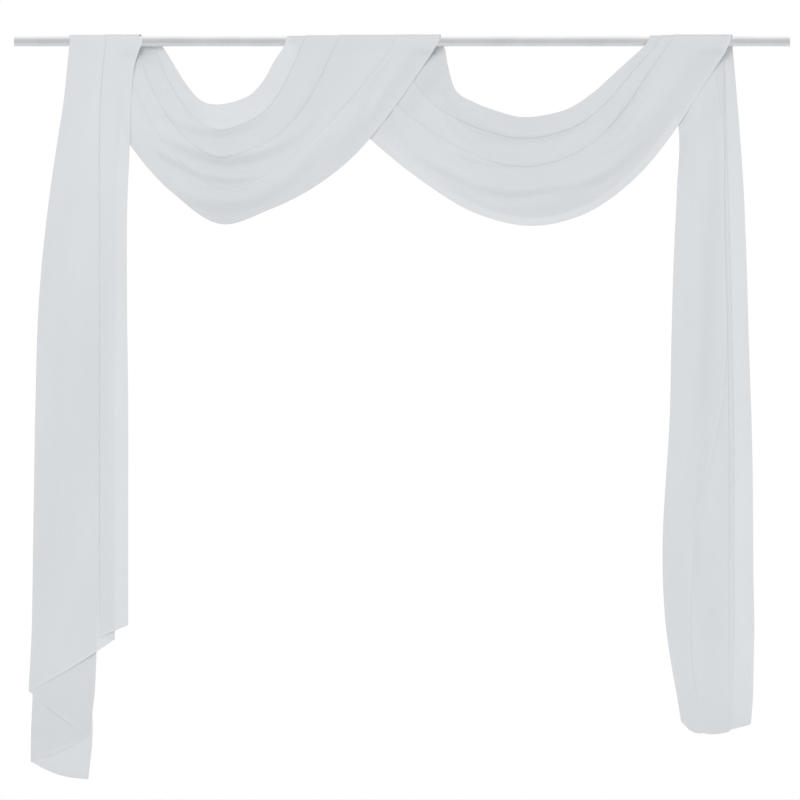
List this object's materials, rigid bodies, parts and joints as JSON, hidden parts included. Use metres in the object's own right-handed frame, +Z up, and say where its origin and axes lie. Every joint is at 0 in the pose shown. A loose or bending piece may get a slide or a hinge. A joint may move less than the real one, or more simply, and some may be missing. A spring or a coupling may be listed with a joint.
{
  "type": "window scarf on a rod",
  "caption": "Sheer white voile scarf wound over a plain metal rod, hanging in soft swags with a long tail at each end.",
  "frame": {"origin": "on the rod's axis, at the middle of its length", "axes": "+X along the rod to the right, seen from the room; -Y towards the room; +Z up"},
  "size_m": [2.042, 0.0836, 1.9639],
  "materials": {
    "rod_metal": "plain satin chrome tube",
    "voile": "plain sheer voile, off-white"
  },
  "bodies": {
    "root": {"rod": "rod_metal", "scarf": "voile"}
  },
  "joints": []
}
